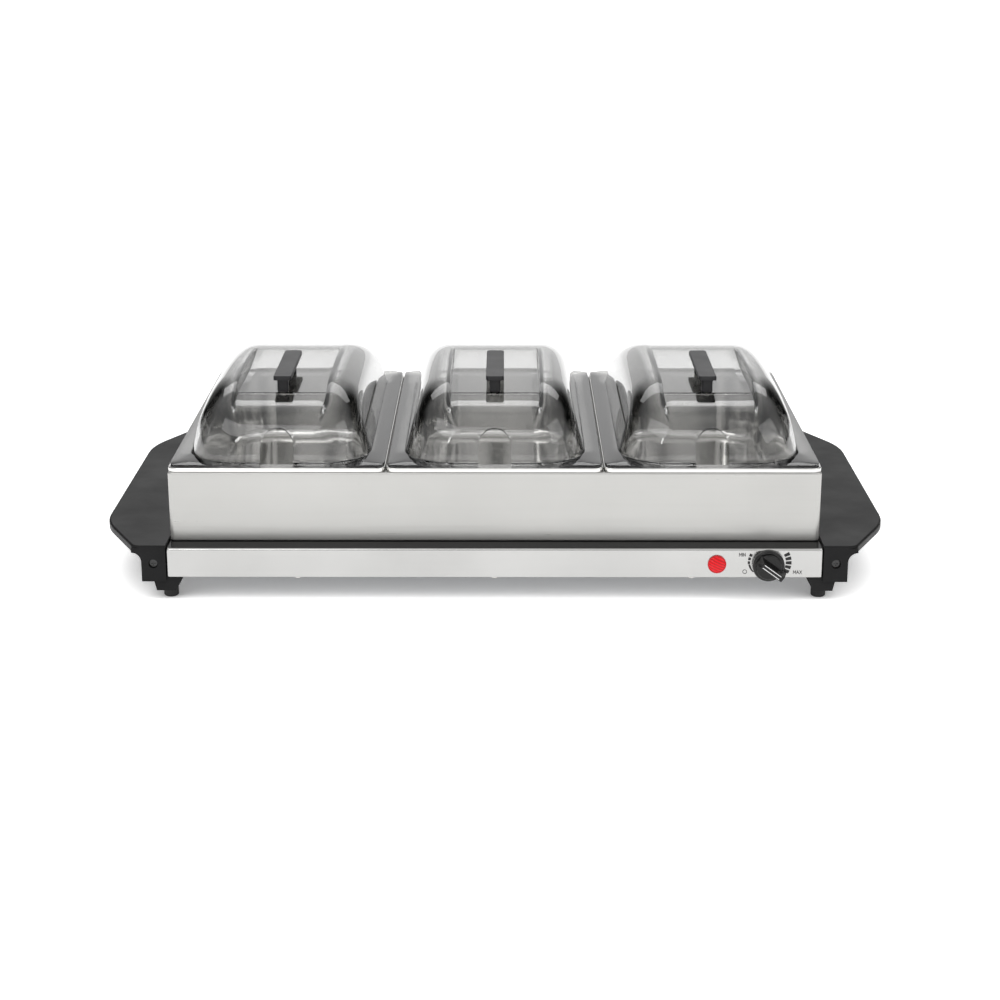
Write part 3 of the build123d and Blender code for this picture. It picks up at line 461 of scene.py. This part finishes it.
def flange_place(x, y, dx, dy, inset):
    """Where an outward line from the dome's foot meets the flange's rounded border."""
    half_w = FLANGE_HALF_W - inset
    half_d = FLANGE_HALF_D - inset
    reach = min((half_w - abs(x)) / max(abs(dx), 1e-6), (half_d - abs(y)) / max(abs(dy), 1e-6))
    fx, fy = abs(x + dx * reach), abs(y + dy * reach)
    corner = FLANGE_CORNER - inset
    over_x, over_y = fx - (half_w - corner), fy - (half_d - corner)
    if over_x > 0 and over_y > 0:
        size = math.hypot(over_x, over_y)
        fx = half_w - corner + over_x / size * corner
        fy = half_d - corner + over_y / size * corner
    return math.copysign(fx, x), math.copysign(fy, y)


def lid_mesh(name):
    mesh = bmesh.new()

    def add_grid(rows, flip):
        grid = [[mesh.verts.new(point) for point in row] for row in rows]
        for low_row, high_row in zip(grid, grid[1:]):
            for a, b, c, d in zip(low_row, low_row[1:], high_row[1:], high_row):
                mesh.faces.new((a, d, c, b) if flip else (a, b, c, d))
        border = list(grid[0]) + [row[-1] for row in grid[1:-1]] + list(reversed(grid[-1]))
        return border + [row[0] for row in reversed(grid[1:-1])]

    def add_loop(points, previous, flip):
        ring = [mesh.verts.new(point) for point in points]
        count = len(ring)
        for k in range(count):
            a, b = previous[k], previous[(k + 1) % count]
            c, d = ring[(k + 1) % count], ring[k]
            mesh.faces.new((a, d, c, b) if flip else (a, b, c, d))
        return ring

    outer = skin(0.0)
    border = add_grid(outer, False)
    foot = outline(outer, 0.0)
    for out, z in ((0.0, 0.3), (0.25, 0.1), (0.8, 0.0)):
        border = add_loop([(x + dx * out, y + dy * out, FLANGE_TOP + z) for x, y, dx, dy in foot],
                          border, True)
    nick = CORNER_CUT * EDGE_ROUND
    for inset, drop in ((EDGE_ROUND, 0.0), (nick, nick), (0.0, EDGE_ROUND), (0.0, WALL)):
        border = add_loop([(*flange_place(x, y, dx, dy, inset), FLANGE_TOP - drop)
                           for x, y, dx, dy in foot], border, True)

    inner = skin(WALL)
    inside = add_grid(inner, True)
    foot_in = outline(inner, WALL)
    for out, z in ((0.0, FLANGE_TOP - WALL), (0.0, RIB_BOTTOM), (2.6, RIB_BOTTOM),
                   (2.9, FLANGE_TOP - WALL)):
        inside = add_loop([(x + dx * out, y + dy * out, z) for x, y, dx, dy in foot_in], inside, False)
    count = len(border)
    for k in range(count):
        nxt = (k + 1) % count
        mesh.faces.new((inside[k], inside[nxt], border[nxt], border[k]))
    bmesh.ops.recalc_face_normals(mesh, faces=mesh.faces)
    data = bpy.data.meshes.new(name)
    mesh.to_mesh(data)
    mesh.free()
    return data


def notch_cutter():
    """Upright slot with a round top, through the front of the dome and its flange."""
    mesh = bmesh.new()
    centre = NOTCH_TOP - NOTCH_HALF
    shape = [(-NOTCH_HALF, RIB_BOTTOM - 4)]
    for k in range(33):
        turn = math.pi * (1 - k / 32)
        shape.append((NOTCH_HALF * math.cos(turn), centre + NOTCH_HALF * math.sin(turn)))
    shape.append((NOTCH_HALF, RIB_BOTTOM - 4))
    front = [mesh.verts.new((x, -FLANGE_HALF_D - 6, z)) for x, z in shape]
    back = [mesh.verts.new((x, -FLANGE_HALF_D + 50, z)) for x, z in shape]
    mesh.faces.new(front)
    mesh.faces.new(reversed(back))
    for k in range(len(shape)):
        nxt = (k + 1) % len(shape)
        mesh.faces.new((front[nxt], front[k], back[k], back[nxt]))
    bmesh.ops.recalc_face_normals(mesh, faces=mesh.faces)
    data = bpy.data.meshes.new("notch_cutter")
    mesh.to_mesh(data)
    mesh.free()
    return data


def cut(target, cutter_data):
    cutter = bpy.data.objects.new("cutter", cutter_data)
    bpy.context.scene.collection.objects.link(cutter)
    change = target.modifiers.new("notch", "BOOLEAN")
    change.operation = "DIFFERENCE"
    change.solver = "EXACT"
    change.object = cutter
    bake_modifiers(target)
    bpy.data.objects.remove(cutter)


def bake_modifiers(target):
    graph = bpy.context.evaluated_depsgraph_get()
    graph.update()
    result = bpy.data.meshes.new_from_object(target.evaluated_get(graph))
    target.modifiers.clear()
    target.data = result


def clear_lid(name):
    node = f"lid_dome_{name}"
    low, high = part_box(node)
    lid = bpy.data.objects.new(f"clear_lid_{name}", lid_mesh(f"clear_lid_{name}"))
    bpy.context.scene.collection.objects.link(lid)
    cut(lid, notch_cutter())
    middle_x = (low.x + high.x) / 2
    middle_y = (low.y + high.y) / 2
    place = mathutils.Matrix.Translation((middle_x, middle_y, 0.0)) @ mathutils.Matrix.Scale(MM, 4)
    lid.data.transform(place)
    for face in lid.data.polygons:
        face.use_smooth = True
    lid.data.set_sharp_from_angle(angle=math.radians(38))
    lid.data.materials.clear()
    lid.data.materials.append(CLEAR)
    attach(lid, f"lid_{name}")
    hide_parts(node)


# ---- stage ----
def floor():
    """Pale paper floor, which glows less where little of the sky reaches it."""
    bpy.ops.mesh.primitive_plane_add(size=40.0, location=(0, 8, 0))
    plane = bpy.context.object
    plane.name = "floor"
    tree = Tree("floor_paper")
    cloud = tree.noise(tree.mapped((1, 1, 1)), 3.0, 3.0)
    tree.wire(tree.blend_colour(cloud, (0.90, 0.90, 0.90), (0.93, 0.93, 0.93)), "Base Color")
    tree.set(Roughness=0.9)
    tree.shader.inputs["Specular IOR Level"].default_value = 0.1
    tree.shader.inputs["Emission Color"].default_value = (1, 1, 1, 1)
    open_sky = tree.nodes.new("ShaderNodeAmbientOcclusion")
    open_sky.inputs["Distance"].default_value = 0.12
    tree.wire(tree.ramp(open_sky.outputs["AO"], 0.10, 0.60, 0.08, 0.55), "Emission Strength")
    plane.data.materials.append(tree.material)


def softbox(name, location, target, width, height, power):
    light = bpy.data.lights.new(name, "AREA")
    light.shape = "RECTANGLE"
    light.size = width
    light.size_y = height
    light.energy = power
    lamp = bpy.data.objects.new(name, light)
    bpy.context.scene.collection.objects.link(lamp)
    lamp.location = location
    away = lamp.location - mathutils.Vector(target)
    lamp.rotation_euler = away.to_track_quat("Z", "Y").to_euler()
    return lamp


def lighting():
    """Bright studio with dark flags low at the rear sides, soft lamps and one small glint lamp."""
    world = bpy.data.worlds.new("studio")
    bpy.context.scene.world = world
    world.use_nodes = True
    nodes, links = world.node_tree.nodes, world.node_tree.links

    def spread(value, start, stop):
        node = nodes.new("ShaderNodeMapRange")
        node.interpolation_type = "SMOOTHSTEP"
        node.inputs["From Min"].default_value = start
        node.inputs["From Max"].default_value = stop
        links.new(value, node.inputs["Value"])
        return node.outputs["Result"]

    def combine(operation, first, second=None):
        node = nodes.new("ShaderNodeMath")
        node.operation = operation
        links.new(first, node.inputs[0])
        if second is not None:
            links.new(second, node.inputs[1])
        return node.outputs["Value"]

    split = nodes.new("ShaderNodeSeparateXYZ")
    links.new(nodes.new("ShaderNodeTexCoord").outputs["Generated"], split.inputs["Vector"])
    sideways = spread(combine("ABSOLUTE", split.outputs["X"]), 0.20, 0.42)
    behind = spread(split.outputs["Y"], -0.05, 0.30)
    low = spread(split.outputs["Z"], 0.80, 0.50)
    flags = combine("MULTIPLY", combine("MULTIPLY", sideways, behind), low)
    mix = nodes.new("ShaderNodeMix")
    mix.data_type = "RGBA"
    mix.inputs["A"].default_value = (0.86, 0.86, 0.86, 1)
    mix.inputs["B"].default_value = (0.02, 0.02, 0.02, 1)
    links.new(flags, mix.inputs["Factor"])
    links.new(mix.outputs["Result"], nodes["Background"].inputs["Color"])
    nodes["Background"].inputs["Strength"].default_value = 1.12
    softbox("key", (-0.9, -1.3, 2.2), (0, 0, 0.05), 1.6, 1.2, 10)
    softbox("fill", (1.5, -0.9, 1.5), (0, 0, 0.05), 1.0, 1.2, 5)
    softbox("glint", (-0.55, -1.7, 1.25), (0.1, -0.15, 0.06), 0.10, 0.45, 1.2)
    softbox("rear", (0.0, 1.7, 1.6), (0, 0, 0.1), 2.2, 0.7, 8)


CAMERA_PLACE = (0.00825, -1.72927, 0.54813)
CAMERA_PITCH = 0.29196            # radians below level
CAMERA_TURN = 0.00256
LENS_MM = 75.6


def camera():
    data = bpy.data.cameras.new("camera")
    data.sensor_width = 36.0
    data.lens = LENS_MM
    eye = bpy.data.objects.new("camera", data)
    bpy.context.scene.collection.objects.link(eye)
    eye.location = CAMERA_PLACE
    eye.rotation_euler = (math.pi / 2 - CAMERA_PITCH, 0, CAMERA_TURN)
    bpy.context.scene.camera = eye


camera()
dress_all()
for side in SIDES:
    clear_lid(side)
floor()
lighting()
bpy.context.scene.view_settings.view_transform = "Standard"
